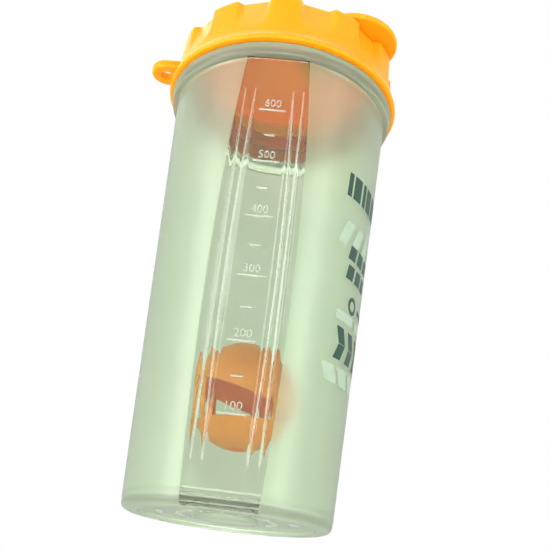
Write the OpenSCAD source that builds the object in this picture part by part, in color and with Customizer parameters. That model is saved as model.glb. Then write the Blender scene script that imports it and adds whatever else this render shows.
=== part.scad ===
// Shaker bottle: a tapered cup with a fluted sight window, a screw lid with a
// spout under a round flip cap, and a loose two-part mixing ball.
// Origin: centre of the base, on the plane that the cup stands on.
// +Z runs up the cup, and the sight window faces -Y.

/* [Cup] */
// Radius of the cup at its base
cup_base_r = 36.1; // [35.8:0.1:36.4]
// Outward growth of the cup's radius for each millimetre of height
cup_taper = 0.043; // [0.042:0.0005:0.044]
// Wall thickness of the cup
cup_wall = 2; // [1.8:0.1:2.2]
// Thickness of the cup's floor, measured from the plane it stands on
cup_floor = 3.2; // [3:0.1:3.6]
// Height at which the collar leaves the cup's wall
collar_z = 162; // [160:0.5:163]
// Largest radius of the collar
collar_r = 45.8; // [45.6:0.1:46]
// Height of the collar
collar_h = 4.8; // [4.4:0.1:5]
// Outer radius of the threaded neck
neck_r = 40.9; // [40.8:0.05:41]
// Height of the neck above the collar
neck_h = 15.6; // [15.4:0.1:15.7]
// Depth of the ring-shaped recess under the base
base_recess = 1.2; // [0.8:0.1:1.4]

/* [Sight window] */
// Depth of the window's face below the round wall, at the base
window_inset = 2.15; // [2:0.05:2.3]
// Outward slope of the window's face at the base
window_slope = 0.0215; // [0.021:0.0005:0.022]
// Radius of the hollow curve that the window's face follows up the cup
window_curve_r = 3250; // [3150:50:3350]
// Height of the middle of the flutes
flute_mid_z = 80; // [78:1:82]
// Half the length of the flutes
flute_half_len = 72; // [70:1:74]
// Depth of the outer flute below the window's face
outer_flute_depth = 1.2; // [1:0.1:1.4]
// Depth of the inner flute below the window's face
inner_flute_depth = 3.2; // [2.8:0.1:3.4]
// Half the width of the outer flute's floor
outer_flute_half_w = 10.9; // [10.7:0.1:11.1]
// Half the width of the inner flute's floor
inner_flute_half_w = 6.6; // [6.4:0.1:6.8]
// Sideways lean of the flutes' side walls for each millimetre of depth
flute_draft = 1.1; // [1:0.05:1.2]

/* [Scale] */
// Volume at the highest line of the scale, in millilitres
scale_top_ml = 600; // [400:100:600]
// Volume between two numbered lines, in millilitres
scale_step_ml = 100; // [100:100:200]
// Length of a numbered line
scale_line_w = 9.6; // [8:0.2:10]
// Length of a half-step line
scale_tick_w = 4; // [3:0.2:5]
// Height by which the lines stand off the window
scale_relief = 0.35; // [0.2:0.05:0.4]

/* [Thread] */
// Rise of the lid in one full turn
thread_lead = 8; // [7.6:0.2:8.4]
// Number of separate threads side by side
thread_starts = 2; // [2:1:2]
// Sweep of each thread round the neck, in degrees
thread_sweep = 270; // [180:30:300]
// Height of the thread ridge above its wall
thread_depth = 1.3; // [1.2:0.05:1.35]
// Height of the lower end of the neck's threads
thread_z = 172.5; // [172:0.1:173]

/* [Lid] */
// Height of the lid's lower edge when it is screwed down
lid_z = 167.5; // [167.4:0.05:167.6]
// Radius of the flared lower rim
lid_rim_r = 47.4; // [47.2:0.1:47.6]
// Radius of the skirt above the rim
skirt_r = 45.1; // [45:0.1:45.3]
// Inner radius of the skirt between the threads
skirt_inner_r = 42.7; // [42.6:0.05:42.8]
// Height of the lid's top face
deck_z = 189.5; // [189.3:0.1:189.7]
// Thickness of the lid's top wall
deck_t = 3; // [2.8:0.1:3.1]
// Number of grip pads round the lid
grip_count = 11; // [9:1:11]
// Width of the scooped gap between two grip pads
grip_gap_w = 12.6; // [12:0.1:13]
// Depth of the scooped gaps at the lid's top edge
grip_depth = 3.6; // [2.8:0.1:3.8]
// Height over which the scooped gaps run out
grip_h = 14.5; // [14:0.5:15]
// Outer radius of the ring that plugs into the cup's mouth
plug_r = 38.5; // [38.4:0.05:38.6]

/* [Carry loop] */
// Distance of the loop's hole from the lid's axis
loop_x = 51; // [50:0.5:52]
// Radius of the loop's round end
loop_r = 6.8; // [6.4:0.1:6.9]
// Radius of the loop's hole
loop_hole_r = 2.75; // [2.5:0.05:3]
// Thickness of the loop
loop_t = 4; // [3.5:0.1:4.5]
// Height of the loop's lower face
loop_z = 180.6; // [180:0.1:181]

/* [Spout and flip cap] */
// Turn of the spout round the lid from the window's side, in degrees
spout_turn = 56.5; // [54:0.5:59]
// Distance of the spout from the lid's axis
spout_out = 27; // [26.8:0.1:27.2]
// Outer radius of the spout
spout_r = 9; // [8.9:0.1:9.1]
// Inner radius of the spout
spout_bore_r = 7; // [6.95:0.05:7.05]
// Height of the spout's lip
spout_top_z = 194.5; // [194.4:0.1:194.6]
// Radius of the flip cap's round plate
cap_plate_r = 17.8; // [17.5:0.1:18.2]
// Distance of the flip cap's plate from the lid's axis
cap_plate_out = 32.6; // [32:0.1:33.2]
// Thickness of the flip cap's plate
cap_plate_t = 2.9; // [2.6:0.1:3.2]
// Radius of the flip cap's raised crown
cap_crown_r = 12.4; // [12.3:0.1:12.6]
// Height of the flip cap's top
cap_top_z = 200; // [199.8:0.1:201]
// Distance of the hinge from the lid's axis
hinge_out = 8; // [7.8:0.1:8.2]
// Height of the hinge's axis
hinge_z = 193.4; // [193.3:0.05:193.5]
// Radius of the hinge pin
pin_r = 1.5; // [1.4:0.05:1.6]

/* [Mixing ball] */
// Diameter of the mixing ball
ball_d = 39; // [38:0.5:40]
// Wall thickness of the mixing ball
ball_wall = 2; // [1.6:0.1:2.4]
// Height of the ball's centre
ball_z = 43.6; // [42:0.2:60]
// Mean height of the slot round the ball
ball_slot_h = 9.5; // [9:0.1:10]
// Height of the slot's middle over the ball's centre
ball_slot_z = -5.7; // [-6:0.1:-5]
// Angle at which the slot's upper edge leans to its lower edge, in degrees
ball_slot_lean = 18; // [12:1:20]
// Sideways tilt of the ball in degrees
ball_tilt = -3; // [-6:1:6]
// Radius of the holes at the ball's poles
ball_hole_r = 4; // [3:0.5:5]
// Width of the ribs that cross the slot
ball_rib_w = 4; // [3:0.5:5]

/* [Hidden] */

$fn = 96;
wheel_fn = 1440;
helix_step = 10;
arc_step = 15;

clearance = 0.1;
pin_clearance = 0.06;
collar_top = collar_z + collar_h;
brim_z = collar_top + neck_h;
mouth_r = neck_r - cup_wall;
cup_inner_r = cup_base_r - cup_wall;
foot_round = 2;
base_pad_r = 10;
base_recess_r = 30;
wheel_reach = 10;
thread_root_half_h = 1.25;
thread_crest_half_h = 0.55;
deck_under_z = deck_z - deck_t;
plug_inner_r = plug_r - 1.6;
plug_low_z = 179.5;
ring_r = 41.3;
seat_z = brim_z + 1.6;
seat_r = ring_r + 0.4;
seat_low_z = 181;
ear_t = 3;
ear_gap = 0.3;
knuckle_r = 3.3;
knuckle_half_w = 6.7;
cap_low_z = deck_z + 0.5;
cap_cavity_r = 10.2;
plug_ceiling_z = 195.6;
stem_r = 2.5;
stem_top_z = 198.2;
ball_r = ball_d / 2;
slot_low_z = ball_slot_z - ball_slot_h / 2;
slot_high_z = ball_slot_z + ball_slot_h / 2;

function cup_r(z) = cup_base_r + cup_taper * z;

// Points of an arc about [x, y] from angle a to angle b
function arc(x, y, r, a, b) =
    let (n = ceil(abs(b - a) / arc_step))
    [for (i = [0:n]) [x + r * cos(a + (b - a) * i / n), y + r * sin(a + (b - a) * i / n)]];

// The window's face and the floors of its two flutes are the rims of three large
// wheels, whose axes run across the window, far out in front of it.
function face_out(z) = cup_base_r - window_inset + window_slope * z + z * z / (2 * window_curve_r);
face_lean = atan(window_slope + flute_mid_z / window_curve_r);
function wheel_r(depth) = 1 / (1 / window_curve_r + 2 * depth / (flute_half_len * flute_half_len));
function wheel_axis_out(depth) = face_out(flute_mid_z) - depth + wheel_r(depth) * cos(face_lean);
function wheel_axis_z(depth) = flute_mid_z - wheel_r(depth) * sin(face_lean);
function wheel_face_out(depth, z) =
    wheel_axis_out(depth) - sqrt(pow(wheel_r(depth), 2) - pow(z - wheel_axis_z(depth), 2));

// Height that a volume in millilitres reaches in the tapered cup
function fill_z(ml) =
    (pow(3 * cup_taper * ml * 1000 / PI + pow(cup_inner_r + cup_taper * cup_floor, 3), 1 / 3)
     - cup_inner_r) / cup_taper;

module at_spout() {
    rotate([0, 0, spout_turn - 90]) children();
}

module wheel(depth, half_w, draft, grow) {
    rim = wheel_r(depth) + grow;
    side = half_w + grow * (sqrt(1 + draft * draft) - draft);
    reach = wheel_reach + grow;
    translate([0, -wheel_axis_out(depth), wheel_axis_z(depth)])
        rotate([0, 90, 0])
            rotate_extrude($fn = wheel_fn)
                polygon([[rim, -side], [rim, side],
                         [rim - reach, side + draft * reach], [rim - reach, -side - draft * reach]]);
}

module window_solid(grow) {
    half_box = 2 * cup_base_r;
    intersection() {
        union() {
            wheel(0, cup_base_r, 0, grow);
            wheel(outer_flute_depth, outer_flute_half_w, flute_draft, grow);
            wheel(inner_flute_depth, inner_flute_half_w, flute_draft, grow);
        }
        translate([-half_box, -2 * half_box, -1]) cube([2 * half_box, 2 * half_box, collar_z + 1]);
    }
}

// One thread ridge. The crest lies inside the root for a thread in a hole.
module thread(root_r, crest_r, z) {
    side = sign(crest_r - root_r);
    root_h = side * thread_root_half_h;
    crest_h = side * thread_crest_half_h;
    n = round(thread_sweep / helix_step);
    fade = 4;
    rings = [for (i = [0:n])
        let (a = i * helix_step,
             zc = z + thread_lead * a / 360,
             full = min(1, (i + 1) / fade, (n - i + 1) / fade),
             r = root_r + (crest_r - root_r) * full)
        for (p = [[root_r, -root_h], [r, -crest_h], [r, crest_h], [root_r, root_h]])
            [p[0] * cos(a), p[0] * sin(a), zc + p[1]]];
    sides = [for (i = [0:n - 1], j = [0:3])
        let (a = 4 * i + j, b = 4 * i + (j + 1) % 4)
        each [[a, b, b + 4], [a, b + 4, a + 4]]];
    polyhedron(rings, concat([[3, 2, 1, 0]], sides, [[4 * n, 4 * n + 1, 4 * n + 2, 4 * n + 3]]));
}

module threads(root_r, crest_r, z) {
    for (i = [0:thread_starts - 1])
        rotate([0, 0, 360 * i / thread_starts]) thread(root_r, crest_r, z);
}

module cup_outside() {
    foot_r = cup_r(foot_round) - foot_round;
    collar_round = 1;
    rotate_extrude()
        polygon(concat(
            [[0, 0]],
            arc(foot_r, foot_round, foot_round, -90, 0),
            [[cup_r(collar_z), collar_z]],
            arc(collar_r - 0.5 - collar_round, collar_z + collar_round, collar_round, -90, 0),
            [[collar_r, collar_top - 0.4], [collar_r - 0.4, collar_top], [neck_r, collar_top],
             [neck_r, brim_z - 0.5], [neck_r - 0.5, brim_z], [0, brim_z]]));
}

module cup_inside() {
    inner_round = 3;
    shoulder_z = collar_z + 1.5;
    corner_r = cup_inner_r + cup_taper * cup_floor - inner_round;
    difference() {
        rotate_extrude()
            polygon(concat(
                [[0, cup_floor]],
                arc(corner_r, cup_floor + inner_round, inner_round, -90, 0),
                [[cup_inner_r + cup_taper * shoulder_z, shoulder_z],
                 [mouth_r, collar_top - 0.5], [mouth_r, brim_z + 1], [0, brim_z + 1]]));
        window_solid(cup_wall);
    }
}

module base_ring() {
    rotate_extrude()
        polygon([[base_pad_r, -1], [base_recess_r + 1, -1], [base_recess_r, base_recess],
                 [base_pad_r + 1, base_recess]]);
}

module scale_line(ml, w) {
    line_h = 0.6;
    z = fill_z(ml);
    translate([-w / 2, -wheel_face_out(inner_flute_depth, z) - scale_relief, z - line_h / 2])
        cube([w, scale_relief + cup_wall / 2, line_h]);
}

module cup() {
    color([0.78, 0.87, 0.75, 0.6]) {
        difference() {
            cup_outside();
            cup_inside();
            window_solid(0);
            base_ring();
        }
        for (ml = [scale_step_ml:scale_step_ml:scale_top_ml]) scale_line(ml, scale_line_w);
        for (ml = [1.5 * scale_step_ml:scale_step_ml:scale_top_ml]) scale_line(ml, scale_tick_w);
        threads(neck_r - 0.5, neck_r + thread_depth, thread_z);
    }
}

module lid_seal_ring() {
    color("whitesmoke")
        rotate_extrude()
            polygon([[plug_r + clearance, brim_z + clearance], [ring_r, brim_z + clearance],
                     [ring_r, seat_z - clearance], [plug_r + clearance, seat_z - clearance]]);
}

module lid_outside() {
    top_round = 1.5;
    flare_z = lid_z + 4;
    rotate_extrude()
        polygon(concat(
            [[0, lid_z], [lid_rim_r - 0.6, lid_z], [lid_rim_r, lid_z + 0.6], [lid_rim_r, lid_z + 1.6],
             [lid_rim_r - 1.2, flare_z - 1], [skirt_r + 0.4, flare_z + 1], [skirt_r, flare_z + 4]],
            arc(skirt_r - 0.2 - top_round, deck_z - top_round, top_round, 0, 90),
            [[0, deck_z]]));
}

module lid_inside() {
    lead_in = 1;
    difference() {
        rotate_extrude()
            polygon([[0, lid_z - 1], [skirt_inner_r + lead_in + 1, lid_z - 1], [skirt_inner_r, lid_z + lead_in],
                     [skirt_inner_r, seat_low_z - 0.6], [seat_r, seat_low_z], [seat_r, seat_z],
                     [plug_r - 0.8, seat_z], [plug_r - 0.8, deck_under_z], [0, deck_under_z]]);
        rotate_extrude()
            polygon([[plug_inner_r, deck_under_z + 1], [plug_inner_r, plug_low_z],
                     [plug_r - 0.5, plug_low_z], [plug_r, plug_low_z + 1.5], [plug_r, deck_under_z + 1]]);
    }
}

module grip_gap() {
    lean = atan(grip_depth / grip_h);
    translate([0, -skirt_r, deck_z - grip_h])
        rotate([-lean, 0, 0])
            translate([-grip_gap_w / 2, -10, 0]) cube([grip_gap_w, 10, 2 * grip_h]);
}

module carry_loop() {
    translate([-loop_x, 0, loop_z]) {
        cylinder(r = loop_r, h = loop_t);
        translate([0, -loop_r, 0]) cube([loop_x - seat_r + 1, 2 * loop_r, loop_t]);
    }
}

module spout_tube() {
    translate([spout_out, 0, 0])
        rotate_extrude()
            polygon([[0, deck_under_z], [spout_r + 1, deck_under_z], [spout_r + 1, deck_z],
                     [spout_r, deck_z + 0.4], [spout_r, spout_top_z - 0.5], [spout_r - 0.5, spout_top_z],
                     [0, spout_top_z]]);
}

module hinge_ear(side) {
    inner = knuckle_half_w + ear_gap;
    translate([hinge_out, side * (inner + ear_t / 2), 0]) {
        translate([0, ear_t / 2, hinge_z]) rotate([90, 0, 0]) cylinder(r = knuckle_r, h = ear_t);
        translate([-knuckle_r, -ear_t / 2, deck_z - 1]) cube([2 * knuckle_r, ear_t, hinge_z - deck_z + 1]);
    }
}

module hinge_bore(r) {
    translate([hinge_out, 20, hinge_z]) rotate([90, 0, 0]) cylinder(r = r, h = 40);
}

module lid() {
    color("orange") {
        difference() {
            union() {
                difference() {
                    lid_outside();
                    for (i = [0:grip_count - 1]) rotate([0, 0, 360 * (i + 0.5) / grip_count]) grip_gap();
                }
                carry_loop();
                at_spout() {
                    spout_tube();
                    hinge_ear(1);
                    hinge_ear(-1);
                }
            }
            lid_inside();
            translate([-loop_x, 0, loop_z - 1]) cylinder(r = loop_hole_r, h = loop_t + 2);
            at_spout() {
                translate([spout_out, 0, deck_under_z - 1]) cylinder(r = spout_bore_r, h = 20);
                hinge_bore(pin_r);
            }
        }
        threads(skirt_inner_r + 0.5, skirt_inner_r - thread_depth, thread_z - thread_lead / thread_starts / 2);
    }
}

module hinge_pin() {
    pin_half_l = knuckle_half_w + ear_gap + ear_t + 0.3;
    color("silver")
        at_spout()
            translate([hinge_out, pin_half_l, hinge_z])
                rotate([90, 0, 0])
                    cylinder(r = pin_r, h = 2 * pin_half_l);
}

// A round plate or crown with a rounded upper edge
module cap_round(out, r, top_z, round_r) {
    low_round = 0.8;
    translate([out, 0, 0])
        rotate_extrude()
            polygon(concat(
                [[0, cap_low_z]],
                arc(r - low_round, cap_low_z + low_round, low_round, -90, 0),
                arc(r - round_r, top_z - round_r, round_r, 0, 90),
                [[0, top_z]]));
}

module flip_cap() {
    arm_low_z = hinge_z - knuckle_r + 0.6;
    color("darkorange")
        at_spout()
            difference() {
                union() {
                    cap_round(cap_plate_out, cap_plate_r, cap_low_z + cap_plate_t, 1.6);
                    cap_round(spout_out, cap_crown_r, cap_top_z, 3);
                    translate([hinge_out, knuckle_half_w, hinge_z])
                        rotate([90, 0, 0]) cylinder(r = knuckle_r, h = 2 * knuckle_half_w);
                    translate([hinge_out, -knuckle_half_w, arm_low_z])
                        cube([spout_out - hinge_out - cap_cavity_r + 1, 2 * knuckle_half_w,
                              hinge_z + 2.4 - arm_low_z]);
                }
                translate([spout_out, 0, cap_low_z - 1])
                    cylinder(r = cap_cavity_r, h = plug_ceiling_z - cap_low_z + 1);
                translate([spout_out, 0, plug_ceiling_z - 1])
                    cylinder(r = stem_r, h = stem_top_z - plug_ceiling_z + 1);
                hinge_bore(pin_r + pin_clearance);
            }
}

module spout_plug() {
    plug_tip_z = spout_top_z - 2.7;
    flange_z = spout_top_z + 0.2;
    color("whitesmoke")
        at_spout()
            translate([spout_out, 0, 0])
                rotate_extrude()
                    polygon([[0, plug_tip_z], [spout_bore_r - 0.9, plug_tip_z],
                             [spout_bore_r - 0.15, spout_top_z], [spout_bore_r - 0.15, flange_z],
                             [spout_r + 0.6, flange_z], [spout_r + 0.6, plug_ceiling_z],
                             [stem_r, plug_ceiling_z], [stem_r, stem_top_z], [0, stem_top_z]]);
}

module at_ball() {
    translate([0, 0, ball_z]) rotate([0, ball_tilt, 0]) children();
}

module ball_shell() {
    difference() {
        sphere(r = ball_r);
        sphere(r = ball_r - ball_wall);
        translate([0, 0, -ball_r - 1]) cylinder(r = ball_hole_r, h = ball_d + 2);
    }
}

// The space round the ball, below a height over its centre
module below(height) {
    translate([-ball_d, -ball_d, height - 2 * ball_d]) cube([2 * ball_d, 2 * ball_d, 2 * ball_d]);
}

module mixer_ball_lower() {
    color("orangered")
        at_ball() {
            intersection() {
                ball_shell();
                below(slot_low_z);
            }
            intersection() {
                ball_shell();
                for (turn = [45, 135])
                    rotate([0, 0, turn])
                        translate([-ball_r - 1, -ball_rib_w / 2, slot_low_z - 1])
                            cube([ball_d + 2, ball_rib_w, ball_r]);
                rotate([0, ball_slot_lean, 0]) below(slot_high_z * cos(ball_slot_lean));
            }
        }
}

module mixer_ball_upper() {
    color("orangered")
        at_ball()
            rotate([0, ball_slot_lean, 0])
                difference() {
                    ball_shell();
                    below(slot_high_z * cos(ball_slot_lean));
                }
}

cup();
lid_seal_ring();
lid();
hinge_pin();
flip_cap();
spout_plug();
mixer_ball_lower();
mixer_ball_upper();
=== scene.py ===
"""Looks of a shaker bottle: a frosted cup with a clear fluted window, an orange screw lid
with a flip cap, and a mixing ball, seen from low in front on white."""

import math

import bmesh
import bpy
from mathutils import Matrix, Vector


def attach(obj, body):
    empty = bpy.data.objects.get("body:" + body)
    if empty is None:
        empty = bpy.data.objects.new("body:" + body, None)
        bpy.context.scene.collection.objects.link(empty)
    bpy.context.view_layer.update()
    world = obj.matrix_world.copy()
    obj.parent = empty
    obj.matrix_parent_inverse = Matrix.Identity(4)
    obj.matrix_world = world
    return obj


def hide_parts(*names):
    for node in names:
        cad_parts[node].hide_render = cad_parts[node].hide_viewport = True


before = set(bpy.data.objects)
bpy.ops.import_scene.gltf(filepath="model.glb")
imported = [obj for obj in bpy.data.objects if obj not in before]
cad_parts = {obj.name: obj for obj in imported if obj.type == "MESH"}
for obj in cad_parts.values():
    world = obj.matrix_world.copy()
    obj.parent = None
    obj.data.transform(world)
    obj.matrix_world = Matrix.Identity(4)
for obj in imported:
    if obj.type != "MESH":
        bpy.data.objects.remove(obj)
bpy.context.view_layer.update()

MM = 0.001

# ---------------------------------------------------------------- the cup's driving sizes, in mm
CUP_R, CUP_TAPER, CUP_WALL, CUP_FLOOR = 36.1, 0.043, 2.0, 3.2
FOOT_ROUND, FLOOR_ROUND, BASE_PAD_R, BASE_RECESS_R, BASE_RECESS = 2.0, 3.0, 10.5, 30.3, 1.2
COLLAR_Z, COLLAR_R, COLLAR_H = 162.0, 45.8, 4.8
NECK_R, NECK_H = 40.9, 15.6
COLLAR_TOP = COLLAR_Z + COLLAR_H
BRIM_Z = COLLAR_TOP + NECK_H
MOUTH_R = NECK_R - CUP_WALL
FACE_INSET, FACE_SLOPE, FACE_CURVE_R = 2.15, 0.0215, 3250.0
FLUTE_MID_Z, FLUTE_HALF_LEN, FLUTE_DRAFT = 80.0, 72.0, 1.1
FLUTE_LEDGE = 0.04      # keeps a flute's two corners apart where the flute has run out
OUTER_DEPTH, OUTER_HALF_W = 1.2, 10.9
INNER_DEPTH, INNER_HALF_W = 3.2, 6.6
THREAD_LEAD, THREAD_STARTS, THREAD_SWEEP, THREAD_DEPTH, THREAD_Z = 8.0, 2, 270.0, 1.3, 172.5
THREAD_ROOT_HALF_H, THREAD_FLANK_H, THREAD_FADE = 1.25, 0.7, 40

# ---------------------------------------------------------------- the lid's driving sizes, in mm
LID_Z, DECK_Z, DECK_UNDER_Z = 167.5, 189.5, 186.5
RIM_R, SKIRT_R, SKIRT_INNER_R = 47.4, 45.1, 42.7
SKIRT_LEAN, DECK_ROUND, RIM_ROUND, EAR_ROUND = 0.2, 1.5, 0.8, 0.5
PAD_COUNT, SCOOP_HALF_W, SCOOP_DEPTH, SCOOP_H = 11, 6.3, 3.6, 14.5
SCOOP_BLEND, SCOOP_LIP = 1.2, 0.7
PLUG_R, PLUG_INNER_R, PLUG_LOW_Z = 38.5, 36.9, 179.5
SEAT_R, SEAT_Z, SEAT_LOW_Z = 41.7, 184.0, 181.0
LOOP_X, LOOP_R, LOOP_HOLE_R, LOOP_Z, LOOP_T, LOOP_ROUND = 51.0, 6.78, 2.75, 180.6, 4.0, 1.1
SPOUT_TURN, SPOUT_OUT, SPOUT_R, SPOUT_BORE_R, SPOUT_TOP_Z = 56.5, 27.0, 9.0, 7.0, 194.5
HINGE_OUT, HINGE_Z, KNUCKLE_R, EAR_LOW, EAR_HIGH = 8.0, 193.4, 3.3, 7.0, 10.0


# ---------------------------------------------------------------- mesh helpers
def new_object(name, bm, materials, sharp_deg=40):
    """Turns a bmesh in mm into an object in metres, shaded smooth except at sharp edges."""
    bmesh.ops.recalc_face_normals(bm, faces=bm.faces)
    mesh = bpy.data.meshes.new(name)
    bm.to_mesh(mesh)
    bm.free()
    mesh.transform(Matrix.Scale(MM, 4))
    for material in materials:
        mesh.materials.append(material)
    mesh.shade_smooth()
    mesh.set_sharp_from_angle(angle=math.radians(sharp_deg))
    obj = bpy.data.objects.new(name, mesh)
    bpy.context.scene.collection.objects.link(obj)
    return obj


def add_rings(bm, rings, slot_of=None, cap_start=False, cap_end=False):
    """Adds quads between closed rings of points that all have the same count.
    slot_of(row, column) gives a face's material index."""
    rows = [[bm.verts.new(p) for p in ring] for ring in rings]
    count = len(rows[0])
    for i in range(len(rows) - 1):
        for j in range(count):
            k = (j + 1) % count
            face = bm.faces.new((rows[i][j], rows[i][k], rows[i + 1][k], rows[i + 1][j]))
            face.smooth = True
            if slot_of:
                face.material_index = slot_of(i, j)
    for wanted, row in ((cap_start, rows[0]), (cap_end, rows[-1])):
        if wanted:
            centre = bm.verts.new(sum((v.co for v in row), Vector()) / count)
            for j in range(count):
                bm.faces.new((row[j], row[(j + 1) % count], centre))
    return rows


def arc_points(x, y, r, start, end, count):
    """Points on an arc about (x, y), from angle start to angle end in degrees."""
    angles = [math.radians(start + (end - start) * i / count) for i in range(count + 1)]
    return [(x + r * math.cos(a), y + r * math.sin(a)) for a in angles]


FILLET_STEPS = 4


def fillet(before, corner, after, reach):
    """A rounded corner as points on a curve that is tangent to both sides."""
    before, corner, after = Vector(before), Vector(corner), Vector(after)
    near = min(reach, 0.45 * (before - corner).length)
    far = min(reach, 0.45 * (after - corner).length)
    start = corner + (before - corner).normalized() * near if near > 1e-6 else corner
    end = corner + (after - corner).normalized() * far if far > 1e-6 else corner
    along = [i / FILLET_STEPS for i in range(FILLET_STEPS + 1)]
    return [start * (1 - t) ** 2 + corner * 2 * t * (1 - t) + end * t * t for t in along]


# ---------------------------------------------------------------- materials
def material(name):
    """A new node material: (material, its nodes, its links, its Principled shader)."""
    mat = bpy.data.materials.new(name)
    mat.use_nodes = True
    nodes, links = mat.node_tree.nodes, mat.node_tree.links
    return mat, nodes, links, nodes["Principled BSDF"]


def object_noise(nodes, links, scale, detail=3.0):
    """Noise fixed to the object's own coordinates; scale is in waves per metre."""
    coords = nodes.new("ShaderNodeTexCoord")
    noise = nodes.new("ShaderNodeTexNoise")
    noise.inputs["Scale"].default_value = scale
    noise.inputs["Detail"].default_value = detail
    links.new(coords.outputs["Object"], noise.inputs["Vector"])
    return noise.outputs["Fac"]


def spread(nodes, links, value, low, high):
    """Maps noise, which stays near its middle, onto a range."""
    remap = nodes.new("ShaderNodeMapRange")
    remap.inputs["From Min"].default_value = 0.3
    remap.inputs["From Max"].default_value = 0.7
    remap.inputs["To Min"].default_value = low
    remap.inputs["To Max"].default_value = high
    links.new(value, remap.inputs["Value"])
    return remap.outputs["Result"]


def tint(nodes, links, value, colour_a, colour_b):
    """A colour that runs from a to b with the value."""
    ramp = nodes.new("ShaderNodeValToRGB")
    ramp.color_ramp.elements[0].position = 0.3
    ramp.color_ramp.elements[1].position = 0.7
    ramp.color_ramp.elements[0].color = (*colour_a, 1)
    ramp.color_ramp.elements[1].color = (*colour_b, 1)
    links.new(value, ramp.inputs["Fac"])
    return ramp.outputs["Color"]


def bump(nodes, links, shader, height, strength, distance):
    node = nodes.new("ShaderNodeBump")
    node.inputs["Strength"].default_value = strength
    node.inputs["Distance"].default_value = distance
    links.new(height, node.inputs["Height"])
    links.new(node.outputs["Normal"], shader.inputs["Normal"])


def frosted_plastic():
    mat, nodes, links, shader = material("frosted_plastic")
    clouds = object_noise(nodes, links, 60)
    links.new(tint(nodes, links, clouds, (0.69, 0.84, 0.60), (0.73, 0.87, 0.64)),
              shader.inputs["Base Color"])
    links.new(spread(nodes, links, clouds, 0.31, 0.37), shader.inputs["Roughness"])
    shader.inputs["IOR"].default_value = 1.46
    shader.inputs["Transmission Weight"].default_value = 0.82
    bump(nodes, links, shader, object_noise(nodes, links, 1500, 2), 0.1, 0.0002)
    return mat


def clear_plastic():
    mat, nodes, links, shader = material("clear_plastic")
    waves = object_noise(nodes, links, 90)
    links.new(tint(nodes, links, waves, (0.86, 0.93, 0.80), (0.89, 0.95, 0.84)),
              shader.inputs["Base Color"])
    links.new(spread(nodes, links, waves, 0.03, 0.06), shader.inputs["Roughness"])
    shader.inputs["IOR"].default_value = 1.46
    shader.inputs["Transmission Weight"].default_value = 0.98
    bump(nodes, links, shader, object_noise(nodes, links, 180, 1), 0.05, 0.0003)
    return mat


def ridge_plastic():
    """The crests between the window's flutes, made paler and milkier than the clear window: a painted
    highlight for the bright streaks that light draws along them.
    """
    mat, nodes, links, shader = material("ridge_plastic")
    streaks = object_noise(nodes, links, 120)
    # painted highlight: a paler tint than the clear window's, so the crests show as light streaks
    links.new(tint(nodes, links, streaks, (0.80, 0.92, 0.74), (0.90, 0.98, 0.84)),
              shader.inputs["Base Color"])
    links.new(spread(nodes, links, streaks, 0.2, 0.35), shader.inputs["Roughness"])
    shader.inputs["IOR"].default_value = 1.46
    shader.inputs["Transmission Weight"].default_value = 0.78
    return mat


def moulded_plastic(name, dark, light, roughness, grain, glow):
    """Moulded plastic with a fine matt grain and a slow drift of colour. Light soaks through it, so
    that its shaded side glows."""
    mat, nodes, links, shader = material(name)
    drift = object_noise(nodes, links, 45)
    links.new(tint(nodes, links, drift, dark, light), shader.inputs["Base Color"])
    blotches = object_noise(nodes, links, 220)
    links.new(spread(nodes, links, blotches, roughness - 0.05, roughness + 0.06),
              shader.inputs["Roughness"])
    shader.inputs["IOR"].default_value = 1.49
    shader.inputs["Subsurface Weight"].default_value = glow
    shader.inputs["Subsurface Radius"].default_value = (1.0, 0.35, 0.06)
    shader.inputs["Subsurface Scale"].default_value = 0.006
    shader.inputs["Specular IOR Level"].default_value = 0.22
    bump(nodes, links, shader, object_noise(nodes, links, grain, 2), 0.18, 0.0002)
    return mat


def silicone():
    mat, nodes, links, shader = material("silicone")
    drift, grain = object_noise(nodes, links, 150), object_noise(nodes, links, 400)
    links.new(tint(nodes, links, drift, (0.80, 0.80, 0.76), (0.86, 0.86, 0.83)),
              shader.inputs["Base Color"])
    links.new(spread(nodes, links, grain, 0.5, 0.62), shader.inputs["Roughness"])
    bump(nodes, links, shader, object_noise(nodes, links, 2500, 2), 0.1, 0.0001)
    return mat


def pin_steel():
    mat, nodes, links, shader = material("pin_steel")
    grain = object_noise(nodes, links, 900, 4)
    links.new(tint(nodes, links, grain, (0.55, 0.55, 0.56), (0.68, 0.68, 0.70)),
              shader.inputs["Base Color"])
    links.new(spread(nodes, links, grain, 0.18, 0.32), shader.inputs["Roughness"])
    shader.inputs["Metallic"].default_value = 1.0
    return mat


def scale_relief(name):
    """Raised moulding, made paler and milkier than the clear window: a painted highlight for the light
    its edges scatter, which makes it look whitish.
    """
    mat, nodes, links, shader = material(name)
    grain = object_noise(nodes, links, 900)
    # painted highlight: a paler tint than the window's own clear plastic
    links.new(tint(nodes, links, grain, (0.86, 0.92, 0.82), (0.93, 0.97, 0.90)),
              shader.inputs["Base Color"])
    links.new(spread(nodes, links, grain, 0.15, 0.25), shader.inputs["Roughness"])
    shader.inputs["IOR"].default_value = 1.46
    shader.inputs["Transmission Weight"].default_value = 0.8
    return mat


def ink(name, thin, thick):
    """Screen-printed ink, a little uneven and broken by the plastic's grain."""
    mat, nodes, links, shader = material(name)
    wear = object_noise(nodes, links, 500, 4)
    links.new(tint(nodes, links, wear, thin, thick), shader.inputs["Base Color"])
    links.new(spread(nodes, links, wear, 0.32, 0.5), shader.inputs["Roughness"])
    bump(nodes, links, shader, object_noise(nodes, links, 1800, 2), 0.15, 0.0001)
    return mat


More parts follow.
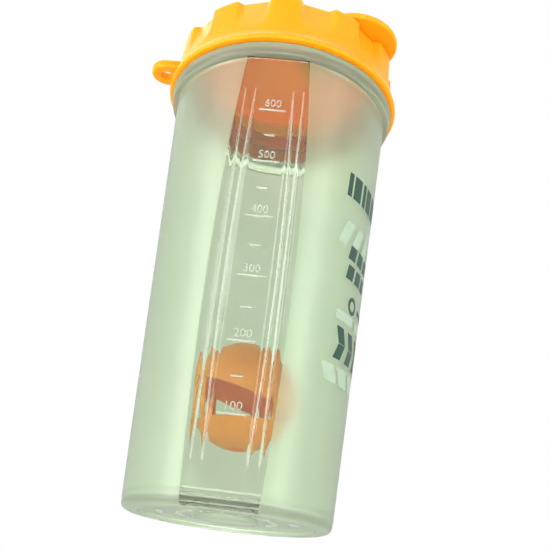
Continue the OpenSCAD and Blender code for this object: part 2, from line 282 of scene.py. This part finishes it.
FROSTED, CLEAR, RIDGE_HIGHLIGHT = frosted_plastic(), clear_plastic(), ridge_plastic()
LID_ORANGE = moulded_plastic("lid_orange", (1.0, 0.32, 0.003), (1.0, 0.35, 0.005), 0.44, 1800, 0.9)
BALL_ORANGE = moulded_plastic("ball_orange", (1.0, 0.31, 0.04), (1.0, 0.36, 0.06), 0.46, 1500, 0.6)
SILICONE, STEEL = silicone(), pin_steel()


# ---------------------------------------------------------------- the cup
def cup_r(z):
    return CUP_R + CUP_TAPER * z


def face_out(z):
    return CUP_R - FACE_INSET + FACE_SLOPE * z + z * z / (2 * FACE_CURVE_R)


def flute_out(depth, z):
    """How far out a flute's floor stands: the rim of a large wheel set in front of the cup."""
    lean = math.atan(FACE_SLOPE + FLUTE_MID_Z / FACE_CURVE_R)
    r = 1 / (1 / FACE_CURVE_R + 2 * depth / FLUTE_HALF_LEN ** 2)
    axis_out = face_out(FLUTE_MID_Z) - depth + r * math.cos(lean)
    axis_z = FLUTE_MID_Z - r * math.sin(lean)
    return axis_out - math.sqrt(r * r - (z - axis_z) ** 2)


ARC_COLUMNS = 52
EDGE_ROUND = 0.7


def cup_outline(z, grow):
    """The cup's outline at one height, set inwards by grow: (x, out) from the window's middle round to
    the back. Every height has the same number of points, so feature lines run unbroken."""
    face = flute_out(0, z) - grow
    outer = min(face, flute_out(OUTER_DEPTH, z) - grow)
    inner = min(outer, flute_out(INNER_DEPTH, z) - grow)
    widen = grow * (math.hypot(1, FLUTE_DRAFT) - FLUTE_DRAFT)
    outer_low = OUTER_HALF_W + widen
    outer_high = outer_low + FLUTE_LEDGE + FLUTE_DRAFT * (face - outer)
    inner_low = INNER_HALF_W + widen
    inner_high = inner_low + FLUTE_LEDGE + FLUTE_DRAFT * (outer - inner)
    r = cup_r(z) - grow
    edge = math.sqrt(r * r - face * face)
    start = math.atan2(edge, face)
    after_edge = (r * math.sin(start + 0.05), r * math.cos(start + 0.05))
    corners = [(0, inner), (inner_low, inner), (inner_high, outer), (outer_low, outer),
               (outer_high, face), (edge, face), after_edge]
    points = [Vector(corners[0])]
    for before, corner, after in zip(corners, corners[1:], corners[2:]):
        points += fillet(before, corner, after, EDGE_ROUND)
    first = math.atan2(points[-1].x, points[-1].y)
    for i in range(1, ARC_COLUMNS + 1):
        a = first + (math.pi - first) * i / ARC_COLUMNS
        points.append(Vector((r * math.sin(a), r * math.cos(a))))
    return points


# the columns from the window's middle to the middle of its rounded edge
WINDOW_COLUMNS = 1 + 4 * (FILLET_STEPS + 1) + 2
# the rounded edges at the top of the inner wall and at the foot of the outer wall
CREST_COLUMNS = (7, 8, 12, 13)


def whole_ring(half, z):
    """Mirrors a half outline into a closed ring of points, starting at the window's middle."""
    right = [(p.x, -p.y, z) for p in half]
    left = [(-p.x, -p.y, z) for p in reversed(half[1:-1])]
    return right + left


COLUMN_ANGLES = [math.atan2(p.x, p.y) for p in cup_outline(COLLAR_Z, 0)]


def round_half(r):
    return [Vector((r * math.sin(a), r * math.cos(a))) for a in COLUMN_ANGLES]


def thread_ridge(azimuth, z, z_start):
    """Height of the thread ridge at a place, 0 to 1. azimuth runs from +X, in degrees."""
    height = 0.0
    for start in range(THREAD_STARTS):
        turned = (azimuth - 360.0 * start / THREAD_STARTS) % 360
        if turned <= THREAD_SWEEP:
            away = abs(z - z_start - THREAD_LEAD * turned / 360)
            flank = min(1.0, max(0.0, (THREAD_ROOT_HALF_H - away) / THREAD_FLANK_H))
            fade = min(1.0, turned / THREAD_FADE, (THREAD_SWEEP - turned) / THREAD_FADE)
            height = max(height, flank * max(0.0, fade))
    return height


def threaded_ring(r, z, depth, z_start):
    ring = []
    for x, y, _ in whole_ring(round_half(1.0), z):
        azimuth = math.degrees(math.atan2(y, x))
        radius = r + depth * thread_ridge(azimuth, z, z_start)
        ring.append((x * radius, y * radius, z))
    return ring


def steps(low, high, spacing):
    count = max(1, round((high - low) / spacing))
    return [low + (high - low) * i / count for i in range(count + 1)]


def build_cup():
    rings, kinds = [], []

    def add(ring, kind):
        rings.append(ring)
        kinds.append(kind)

    # the underside, from the centre pad out to the foot
    for r, z in ((1.0, 0), (BASE_PAD_R - 0.3, 0), (BASE_PAD_R, 0.25),
                 (BASE_PAD_R + 0.5, BASE_RECESS), (BASE_PAD_R + 1.2, BASE_RECESS),
                 (BASE_RECESS_R - 0.8, BASE_RECESS), (BASE_RECESS_R - 0.1, BASE_RECESS - 0.2),
                 (BASE_RECESS_R + 0.3, 0)):
        add(whole_ring(round_half(r), z), "frosted")
    for i in range(7):
        a = math.radians(90 * i / 6)
        outline = cup_outline(0, FOOT_ROUND * (1 - math.sin(a)))
        add(whole_ring(outline, FOOT_ROUND * (1 - math.cos(a))), "foot")
    for z in steps(FOOT_ROUND, COLLAR_Z - 0.8, 2.0)[1:]:
        fluted = abs(z - FLUTE_MID_Z) < FLUTE_HALF_LEN - 4
        add(whole_ring(cup_outline(z, 0), z), "fluted" if fluted else "wall")
    # the collar, the neck and the brim
    add(whole_ring(cup_outline(COLLAR_Z - 0.2, -0.2), COLLAR_Z - 0.2), "wall")
    add(whole_ring(cup_outline(COLLAR_Z, -0.8), COLLAR_Z), "frosted")
    for r, z in [*arc_points(COLLAR_R - 1.5, COLLAR_Z + 1, 1, -90, 0, 5),
                 (COLLAR_R, COLLAR_TOP - 0.5), (COLLAR_R - 0.15, COLLAR_TOP - 0.15),
                 (COLLAR_R - 0.5, COLLAR_TOP), (NECK_R + 0.5, COLLAR_TOP),
                 (NECK_R + 0.1, COLLAR_TOP + 0.2)]:
        add(whole_ring(round_half(r), z), "frosted")
    for z in steps(COLLAR_TOP + 1, BRIM_Z - 0.6, 0.35):
        add(threaded_ring(NECK_R, z, THREAD_DEPTH, THREAD_Z), "frosted")
    for r, z in arc_points(NECK_R - 0.5, BRIM_Z - 0.5, 0.5, 0, 90, 3):
        add(whole_ring(round_half(r), z), "frosted")
    # the inside, from the mouth down to the floor
    for r, z in [(MOUTH_R + 0.4, BRIM_Z), (MOUTH_R, BRIM_Z - 0.4), (MOUTH_R, COLLAR_TOP - 0.5),
                 (cup_r(COLLAR_Z) - CUP_WALL, COLLAR_Z + 1.4)]:
        add(whole_ring(round_half(r), z), "inside")
    for z in reversed(steps(CUP_FLOOR + FLOOR_ROUND, COLLAR_Z - 0.5, 2.0)):
        add(whole_ring(cup_outline(z, CUP_WALL), z), "inside")
    for i in range(1, 6):
        a = math.radians(90 * i / 5)
        z = CUP_FLOOR + FLOOR_ROUND * (1 - math.sin(a))
        add(whole_ring(cup_outline(z, CUP_WALL + FLOOR_ROUND * (1 - math.cos(a))), z), "inside")
    add(whole_ring(round_half(20), CUP_FLOOR), "inside")
    add(whole_ring(round_half(1.0), CUP_FLOOR), "inside")

    total = len(rings[0])

    def slot_of(row, column):
        across = min(column, total - 1 - column)
        # the crest columns take the ridge material, whose paleness is a painted highlight
        if kinds[row] == "fluted" and across in CREST_COLUMNS:
            return 2
        in_window = across < WINDOW_COLUMNS and kinds[row] in ("wall", "fluted", "foot")
        return 1 if in_window or kinds[row] == "inside" else 0

    bm = bmesh.new()
    add_rings(bm, rings, slot_of, cap_start=True, cap_end=True)
    return new_object("cup_shell", bm, [FROSTED, CLEAR, RIDGE_HIGHLIGHT], sharp_deg=50)


def fill_height(millilitres):
    """The height inside the cup at which it holds this much."""
    inner = CUP_R - CUP_WALL
    volume = 3 * CUP_TAPER * millilitres * 1000 / math.pi
    return (math.cbrt(volume + (inner + CUP_TAPER * CUP_FLOOR) ** 3) - inner) / CUP_TAPER


def flat_text(body, size):
    """Triangles of a word in Blender's own font, centred, as (points, faces) in mm."""
    curve = bpy.data.curves.new("digits", "FONT")
    curve.body = body
    curve.size = size
    curve.align_x = "CENTER"
    curve.resolution_u = 3
    holder = bpy.data.objects.new("digits", curve)
    bpy.context.scene.collection.objects.link(holder)
    evaluated = holder.evaluated_get(bpy.context.evaluated_depsgraph_get())
    mesh = bpy.data.meshes.new_from_object(evaluated)
    points = [v.co.copy() for v in mesh.vertices]
    faces = [tuple(f.vertices) for f in mesh.polygons]
    bpy.data.objects.remove(holder)
    bpy.data.curves.remove(curve)
    bpy.data.meshes.remove(mesh)
    return points, faces


PATCH_GAP = 0.012       # keeps a patch's underside clear of the surface that it lies on
INK_DARK_LIFT, INK_PALE_LIFT = 0.05, 0.04
LINE_LIFT, MARK_LIFT = 0.35, 0.3


def raise_patch(bm, points, faces, place, height):
    """Adds a thin slab: flat points put on a surface by place(x, z, lift), and closed at its edges."""
    low = [bm.verts.new(place(x, z, PATCH_GAP)) for x, z in points]
    high = [bm.verts.new(place(x, z, height)) for x, z in points]
    edge_use = {}
    for face in faces:
        bm.faces.new([high[i] for i in face])
        bm.faces.new([low[i] for i in reversed(face)])
        for a, b in zip(face, face[1:] + face[:1]):
            edge_use[(a, b)] = edge_use.get((a, b), 0) + 1
    for a, b in edge_use:
        if (b, a) not in edge_use:
            bm.faces.new((low[a], low[b], high[b], high[a]))


def grid_patch(outline_low, outline_high, rows=6):
    """Points and quads of a patch between two edges of the same number of points."""
    points = []
    for i in range(rows + 1):
        t = i / rows
        points += [(a[0] + (b[0] - a[0]) * t, a[1] + (b[1] - a[1]) * t)
                   for a, b in zip(outline_low, outline_high)]
    n = len(outline_low)
    faces = [(r * n + c, r * n + c + 1, (r + 1) * n + c + 1, (r + 1) * n + c)
             for r in range(rows) for c in range(n - 1)]
    return points, faces


def bar(x0, x1, z0, z1, shear=0.0, cells=8):
    """A bar, leaning sideways by shear, as points and quads."""
    across = [x0 + (x1 - x0) * i / cells for i in range(cells + 1)]
    return grid_patch([(x, z0) for x in across], [(x + shear, z1) for x in across])


def ring_patch(x, z, r_in, r_out):
    cells = 28
    turn = [2 * math.pi * i / cells for i in range(cells + 1)]
    return grid_patch([(x + r_in * math.cos(a), z + r_in * math.sin(a)) for a in turn],
                      [(x + r_out * math.cos(a), z + r_out * math.sin(a)) for a in turn], 2)


def on_window(x, z, lift):
    return (x, -(flute_out(INNER_DEPTH, z) + lift), z)


LINE_HALF_W, TICK_HALF_W, LINE_HALF_H = 4.8, 2.0, 0.3
DIGIT_SIZE, DIGIT_RISE = 4.2, 1.3


def build_scale():
    """The raised millilitre lines and numbers on the window's middle strip."""
    bm = bmesh.new()
    for step in range(100, 650, 50):
        z = fill_height(step)
        numbered = step % 100 == 0
        half = LINE_HALF_W if numbered else TICK_HALF_W
        line = bar(-half, half, z - LINE_HALF_H, z + LINE_HALF_H, cells=4)
        raise_patch(bm, *line, on_window, LINE_LIFT)
        if numbered:
            points, faces = flat_text(str(step), DIGIT_SIZE)
            placed = [(p.x, z + DIGIT_RISE + p.y) for p in points]
            raise_patch(bm, placed, faces, on_window, MARK_LIFT)
    return new_object("cup_scale", bm, [scale_relief("scale_relief")], sharp_deg=30)


PRINT_TURN = -10.0      # mm along the wall, from +X towards the window


def on_wall(x, z, lift):
    """x is measured along the wall from the motif's middle towards the back, z is the height."""
    r = cup_r(z)
    turn = (x + PRINT_TURN) / r
    return ((r + lift) * math.cos(turn), (r + lift) * math.sin(turn), z)


def build_print():
    """A made-up motif on the cup's +X side: bars, blocks, a ring and chevrons, in dark and pale ink."""
    dark, pale = bmesh.new(), bmesh.new()

    def dark_bar(*sizes, shear=0.0):
        raise_patch(dark, *bar(*sizes, shear=shear), on_wall, INK_DARK_LIFT)

    def pale_bar(*sizes, shear=0.0):
        raise_patch(pale, *bar(*sizes, shear=shear), on_wall, INK_PALE_LIFT)

    for i in range(3):
        dark_bar(-20.5 + 10 * i, -18.1 + 10 * i, 115.5, 125)
        dark_bar(-17 + 10 * i, -12 + 10 * i, 115.5, 125)
    for i in range(4):
        pale_bar(-22 + 8 * i, -17 + 8 * i, 96.5, 106, shear=4)
    for z in (85, 92.5):
        for i in range(3):
            dark_bar(-14.5 + 6.5 * i, -9.7 + 6.5 * i, z, z + 5.5, shear=1)
    raise_patch(dark, *ring_patch(-7, 76.5, 1.9, 3.3), on_wall, INK_DARK_LIFT)
    dark_bar(-1, 10, 75.5, 77.5)
    for x in (-17, -2):
        pale_bar(x, x + 12, 69, 72.5)
    for i in range(4):
        dark_bar(-15.5 + 8 * i, -11 + 8 * i, 55, 60.7, shear=2.5)
        dark_bar(-13 + 8 * i, -8.5 + 8 * i, 60.9, 66.6, shear=-2.5)
    for i in range(3):
        pale_bar(-18 + 9 * i, -11 + 9 * i, 46.5, 52.5, shear=-3)
    dark_ink = ink("ink_dark", (0.010, 0.052, 0.032), (0.016, 0.07, 0.045))
    pale_ink = ink("ink_pale", (0.34, 0.46, 0.33), (0.40, 0.52, 0.38))
    return (new_object("cup_print_dark", dark, [dark_ink], 20),
            new_object("cup_print_pale", pale, [pale_ink], 20))


def build_base_marks():
    """Plain moulding marks under the base: a ring of short bars, a slot and a square."""
    bm = bmesh.new()

    def under(x, y, lift):
        return (x, y, BASE_RECESS - lift)

    for i in range(24):
        a = 2 * math.pi * i / 24
        points, faces = bar(-0.35, 0.35, 15.2, 17.6, cells=1)
        turned = [(x * math.cos(a) - y * math.sin(a), x * math.sin(a) + y * math.cos(a))
                  for x, y in points]
        raise_patch(bm, turned, faces, under, MARK_LIFT)
    for x0, x1, y0, y1 in ((-24.5, -22, -4, 5), (21.5, 25, -5, -1.5)):
        raise_patch(bm, *bar(x0, x1, y0, y1, cells=2), under, MARK_LIFT)
    return new_object("cup_base_marks", bm, [scale_relief("base_relief_painted_highlight")], 30)


# ---------------------------------------------------------------- the lid
def turned_to_spout(x, y, z):
    a = math.radians(SPOUT_TURN - 90)
    return (x * math.cos(a) - y * math.sin(a), x * math.sin(a) + y * math.cos(a), z)


def lid_azimuths():
    """Column angles round the lid, closest together where the grip pads begin and end."""
    half = [0, 2, 3.8, 5.0, 5.5, 5.85, 6.1, 6.35, 6.6, 6.95, 7.5, 9, 11]     # mm from a gap's middle
    period = 2 * math.pi / PAD_COUNT
    angles = [math.asin(t / SKIRT_R) for t in half]
    one = angles + [period / 2] + [period - a for a in reversed(angles[1:])]
    first = -math.pi / 2 + period / 2
    return [first + period * i + a for i in range(PAD_COUNT) for a in one]


def scooped(azimuth, r, z):
    """The skirt's radius with the gap between two pads scooped out of it."""
    period = 2 * math.pi / PAD_COUNT
    off = (azimuth + math.pi / 2) % period - period / 2
    lean = SCOOP_DEPTH * (z - (DECK_Z - SCOOP_H)) / SCOOP_H
    lip = max(0.0, z - (DECK_Z - SCOOP_LIP))
    flat = SKIRT_R - lean - (SCOOP_LIP - math.sqrt(max(0.0, SCOOP_LIP ** 2 - lip * lip)))
    deep = max(0.0, r - flat / math.cos(off))
    side = SCOOP_HALF_W + SCOOP_BLEND - abs(r * math.sin(off))
    along = min(1.0, max(0.0, side / (2 * SCOOP_BLEND)))
    return r - deep * along * along * (3 - 2 * along)


def lid_rings():
    """Rings from the deck's underside, round the plug ring, down the threads, round the rim
    and up the pads."""
    azimuths = lid_azimuths()

    def ring(r, z, shape=lambda a, r, z: r):
        return [(shape(a, r, z) * math.cos(a), shape(a, r, z) * math.sin(a), z) for a in azimuths]

    def thread(a, r, z):
        z_start = THREAD_Z - THREAD_LEAD / THREAD_STARTS / 2
        return r - THREAD_DEPTH * thread_ridge(math.degrees(a), z, z_start)

    rings = [ring(r, z) for r, z in (
        (PLUG_INNER_R - 1.0, DECK_UNDER_Z), (PLUG_INNER_R - 0.6, DECK_UNDER_Z),
        (PLUG_INNER_R - 0.2, DECK_UNDER_Z - 0.2), (PLUG_INNER_R, DECK_UNDER_Z - 0.6),
        (PLUG_INNER_R, PLUG_LOW_Z + 0.3), (PLUG_INNER_R + 0.3, PLUG_LOW_Z),
        (PLUG_R - 0.6, PLUG_LOW_Z), (PLUG_R - 0.35, PLUG_LOW_Z + 0.2),
        (PLUG_R, PLUG_LOW_Z + 1.5), (PLUG_R, SEAT_Z), (PLUG_R + 0.1, SEAT_Z),
        (SEAT_R - 0.1, SEAT_Z), (SEAT_R, SEAT_Z - 0.1), (SEAT_R, SEAT_LOW_Z),
        (SKIRT_INNER_R, SEAT_LOW_Z - 0.6))]
    rings += [ring(SKIRT_INNER_R, z, thread)
              for z in reversed(steps(LID_Z + 1.1, SEAT_LOW_Z - 1.0, 0.4))]
    corners = [(SKIRT_INNER_R, LID_Z + 1.1), (SKIRT_INNER_R + 1, LID_Z), (RIM_R - 0.5, LID_Z),
               (RIM_R, LID_Z + 0.5), (RIM_R, LID_Z + 1.7), (RIM_R - 1.3, LID_Z + 3.2),
               (SKIRT_R + 0.3, LID_Z + 5), (SKIRT_R, LID_Z + 8)]
    for before, corner, after in zip(corners, corners[1:], corners[2:]):
        rings += [ring(p.x, p.y) for p in fillet(before, corner, after, RIM_ROUND)]
    low, high = LID_Z + 8, DECK_Z - DECK_ROUND
    for z in steps(low, high, 0.9):
        rings.append(ring(SKIRT_R - SKIRT_LEAN * (z - low) / (high - low), z, scooped))
    for r, z in arc_points(SKIRT_R - SKIRT_LEAN - DECK_ROUND, high, DECK_ROUND, 10, 90, 8):
        rings.append(ring(r, z, scooped))
    last = rings[-1]
    for inward in (0.25, 0.8):
        rings.append([(x * (1 - inward / math.hypot(x, y)), y * (1 - inward / math.hypot(x, y)), z)
                      for x, y, z in last])
    return rings


def spout_rings():
    profile = [(SPOUT_R + 1.6, DECK_Z), (SPOUT_R + 1.1, DECK_Z),
               *arc_points(SPOUT_R + 0.9, DECK_Z + 0.9, 0.9, 270, 180, 5), (SPOUT_R, SPOUT_TOP_Z - 0.7),
               *arc_points(SPOUT_R - 0.6, SPOUT_TOP_Z - 0.6, 0.6, 0, 90, 4),
               *arc_points(SPOUT_BORE_R + 0.5, SPOUT_TOP_Z - 0.5, 0.5, 90, 180, 4),
               (SPOUT_BORE_R, DECK_UNDER_Z + 0.4), (SPOUT_BORE_R + 0.12, DECK_UNDER_Z + 0.12),
               (SPOUT_BORE_R + 0.4, DECK_UNDER_Z), (SPOUT_BORE_R + 0.9, DECK_UNDER_Z)]
    turn = [2 * math.pi * i / 72 for i in range(72)]
    return [[turned_to_spout(SPOUT_OUT + r * math.cos(a), r * math.sin(a), z) for a in turn]
            for r, z in profile]


def ring_edges(row):
    """The edges that join a ring's neighbouring vertices."""
    return [next(e for e in a.link_edges if b in e.verts) for a, b in zip(row, row[1:] + row[:1])]


def fill_between(bm, *rows):
    """Fills a flat region that the first ring bounds and the others pierce."""
    edges = [e for row in rows for e in ring_edges(row)]
    bmesh.ops.triangle_fill(bm, use_beauty=True, edges=edges)


def rounded_prism(bm, outline, centre, v0, v1, reach, place):
    """A prism of an outline that its centre can see, from v0 to v1, with rounded end edges."""
    rings = []
    for i in range(5):
        a = math.radians(90 * i / 4)
        rings.append((reach * (1 - math.sin(a)), reach * (1 - math.cos(a))))
    ends = [(inset, v0 + along) for inset, along in rings]
    ends += [(inset, v1 - along) for inset, along in reversed(rings)]
    rows = []
    for inset, v in ends:
        row = []
        for x, y in outline:
            off = Vector((x - centre[0], y - centre[1]))
            kept = off * (1 - inset / off.length)
            row.append(place(centre[0] + kept.x, centre[1] + kept.y, v))
        rows.append(row)
    add_rings(bm, rows, cap_start=True, cap_end=True)


def loop_outline(inset):
    """The carry loop's outline from above, set inwards by inset, with its root in the skirt."""
    r = LOOP_R - inset
    root = SEAT_R - 0.4
    straight = [(-root - (LOOP_X - root) * i / 6, r) for i in range(6)]
    angles = [math.pi * i / 28 for i in range(29)]
    bend = [(-LOOP_X - r * math.sin(a), r * math.cos(a)) for a in angles]
    return straight + bend + [(x, -y) for x, y in reversed(straight)]


def build_carry_loop(bm):
    """A rounded tab with a hole through it. Its root runs into the skirt."""
    bends = [math.pi / 2 * i / 5 for i in range(6)]
    curve = [(LOOP_ROUND * (1 - math.sin(a)), LOOP_ROUND * (1 - math.cos(a))) for a in bends]
    outer = [(LOOP_ROUND + 0.3, LOOP_Z)] + [(inset, LOOP_Z + up) for inset, up in curve]
    outer += [(inset, LOOP_Z + LOOP_T - up) for inset, up in reversed(curve)]
    outer += [(LOOP_ROUND + 0.3, LOOP_Z + LOOP_T)]
    rows = add_rings(bm, [[(x, y, z) for x, y in loop_outline(inset)] for inset, z in outer])
    lip = 0.5
    turn = [2 * math.pi * i / 40 for i in range(40)]
    hole = [(LOOP_HOLE_R + lip + 0.2, LOOP_Z), (LOOP_HOLE_R + lip, LOOP_Z),
            (LOOP_HOLE_R + 0.15, LOOP_Z + 0.15), (LOOP_HOLE_R, LOOP_Z + lip),
            (LOOP_HOLE_R, LOOP_Z + LOOP_T - lip),
            (LOOP_HOLE_R + 0.15, LOOP_Z + LOOP_T - 0.15), (LOOP_HOLE_R + lip, LOOP_Z + LOOP_T),
            (LOOP_HOLE_R + lip + 0.2, LOOP_Z + LOOP_T)]
    hole_rows = add_rings(bm, [[(-LOOP_X + r * math.cos(a), r * math.sin(a), z) for a in turn]
                               for r, z in hole])
    fill_between(bm, rows[0], hole_rows[0])
    fill_between(bm, rows[-1], hole_rows[-1])


def build_lid():
    bm = bmesh.new()
    shell = add_rings(bm, lid_rings())
    spout = add_rings(bm, spout_rings())
    fill_between(bm, shell[-1], spout[0])
    fill_between(bm, shell[0], spout[-1])
    build_carry_loop(bm)
    ear = [(KNUCKLE_R, DECK_Z - 1), *arc_points(0, HINGE_Z, KNUCKLE_R, 0, 180, 24),
           (-KNUCKLE_R, DECK_Z - 1)]
    for low, high in ((EAR_LOW, EAR_HIGH), (-EAR_HIGH, -EAR_LOW)):
        rounded_prism(bm, ear, (0, HINGE_Z - 1), low, high, EAR_ROUND,
                      lambda x, y, v: turned_to_spout(HINGE_OUT + x, v, y))
    return new_object("lid_shell", bm, [LID_ORANGE], sharp_deg=35)


# ---------------------------------------------------------------- camera, stage and lights
CAMERA_TURN, CAMERA_OUT, CAMERA_Z = math.radians(4.9), 287.43 * MM, -29.68 * MM
CAMERA_YAW, CAMERA_PITCH, CAMERA_ROLL = 0.02084, 0.40361, 0.12630
CAMERA_SENSOR, CAMERA_LENS = 36, 53.04109


def make_camera():
    data = bpy.data.cameras.new("camera")
    data.lens = CAMERA_LENS
    data.sensor_width = CAMERA_SENSOR
    data.clip_start = 0.01
    camera = bpy.data.objects.new("camera", data)
    bpy.context.scene.collection.objects.link(camera)
    ahead = Vector((math.sin(CAMERA_YAW) * math.cos(CAMERA_PITCH),
                    math.cos(CAMERA_YAW) * math.cos(CAMERA_PITCH), math.sin(CAMERA_PITCH)))
    right = Vector((math.cos(CAMERA_YAW), -math.sin(CAMERA_YAW), 0))
    up = right.cross(ahead)
    tilted_right = right * math.cos(CAMERA_ROLL) + up * math.sin(CAMERA_ROLL)
    tilted_up = up * math.cos(CAMERA_ROLL) - right * math.sin(CAMERA_ROLL)
    axes = Matrix((tilted_right, tilted_up, -ahead)).transposed().to_4x4()
    place = Matrix.Translation((0, -CAMERA_OUT, CAMERA_Z))
    camera.matrix_world = Matrix.Rotation(CAMERA_TURN, 4, "Z") @ place @ axes
    bpy.context.scene.camera = camera


FLOOR_R, FLOOR_DROP = 1500, 0.2 * MM
WORLD_LIGHT = 0.72


def make_stage():
    """A pale floor that only camera rays from above see, so that the low camera looks through it."""
    bm = bmesh.new()
    bmesh.ops.create_circle(bm, cap_ends=True, segments=64, radius=FLOOR_R)
    mat, nodes, links, shader = material("floor_paper")
    drift = object_noise(nodes, links, 8)
    links.new(tint(nodes, links, drift, (0.84, 0.84, 0.83), (0.87, 0.87, 0.86)),
              shader.inputs["Base Color"])
    shader.inputs["Roughness"].default_value = 0.8
    side, rays, front, shown, clear, mix = (nodes.new(n) for n in (
        "ShaderNodeNewGeometry", "ShaderNodeLightPath", "ShaderNodeMath", "ShaderNodeMath",
        "ShaderNodeBsdfTransparent", "ShaderNodeMixShader"))
    front.operation, shown.operation = "SUBTRACT", "MULTIPLY"
    front.inputs[0].default_value = 1.0
    links.new(side.outputs["Backfacing"], front.inputs[1])
    links.new(front.outputs["Value"], shown.inputs[0])
    links.new(rays.outputs["Is Camera Ray"], shown.inputs[1])
    links.new(shown.outputs["Value"], mix.inputs[0])
    links.new(clear.outputs["BSDF"], mix.inputs[1])
    links.new(shader.outputs["BSDF"], mix.inputs[2])
    links.new(mix.outputs["Shader"], nodes["Material Output"].inputs["Surface"])
    floor = new_object("floor", bm, [mat])
    floor.location.z = -FLOOR_DROP


def make_light(name, place, target, width, height, power):
    data = bpy.data.lights.new(name, "AREA")
    data.shape = "RECTANGLE"
    data.size, data.size_y = width, height
    data.energy = power
    light = bpy.data.objects.new(name, data)
    bpy.context.scene.collection.objects.link(light)
    light.location = place
    light.rotation_euler = (Vector(target) - Vector(place)).to_track_quat("-Z", "Y").to_euler()
    light.visible_camera = False


def make_world():
    """White to the camera, and a softer white as light."""
    world = bpy.data.worlds.new("studio")
    bpy.context.scene.world = world
    world.use_nodes = True
    nodes, links = world.node_tree.nodes, world.node_tree.links
    soft = nodes["Background"]
    soft.inputs["Color"].default_value = (1, 1, 1, 1)
    soft.inputs["Strength"].default_value = WORLD_LIGHT
    white, rays, mix = (nodes.new(n) for n in
                        ("ShaderNodeBackground", "ShaderNodeLightPath", "ShaderNodeMixShader"))
    white.inputs["Color"].default_value = (1, 1, 1, 1)
    white.inputs["Strength"].default_value = 1.0
    links.new(rays.outputs["Is Camera Ray"], mix.inputs[0])
    links.new(soft.outputs["Background"], mix.inputs[1])
    links.new(white.outputs["Background"], mix.inputs[2])
    links.new(mix.outputs["Shader"], nodes["World Output"].inputs["Surface"])


make_camera()
make_stage()
make_world()
make_light("softbox_left", (-0.50, -0.36, 0.10), (0, 0, 0.09), 0.30, 0.7, 3.0)
make_light("softbox_right", (0.52, -0.34, 0.10), (0, 0, 0.09), 0.24, 0.7, 1.8)
make_light("softbox_low", (0, -0.75, -0.45), (0, 0, 0.10), 0.6, 0.45, 6.5)
make_light("softbox_top", (-0.05, 0.25, 0.80), (0, 0, 0.18), 0.9, 0.8, 7)
bpy.context.scene.view_settings.view_transform = "Standard"

# ---------------------------------------------------------------- pieces
cup = build_cup()
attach(cup, "cup")
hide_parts("cup")
scale = build_scale()
print_dark, print_pale = build_print()
base_marks = build_base_marks()
for piece, slot in ((scale, "cup_plastic"), (base_marks, "cup_plastic"), (print_dark, "print_ink"),
                    (print_pale, "print_ink")):
    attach(piece, "cup")
lid = build_lid()
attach(lid, "lid")
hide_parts("lid")

CAD_LOOKS = {"flip_cap": LID_ORANGE, "lid_seal_ring": SILICONE, "spout_plug": SILICONE,
             "hinge_pin": STEEL, "mixer_ball_lower": BALL_ORANGE, "mixer_ball_upper": BALL_ORANGE}
for node_name, look in CAD_LOOKS.items():
    node_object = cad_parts[node_name]
    node_object.data.materials.clear()
    node_object.data.materials.append(look)
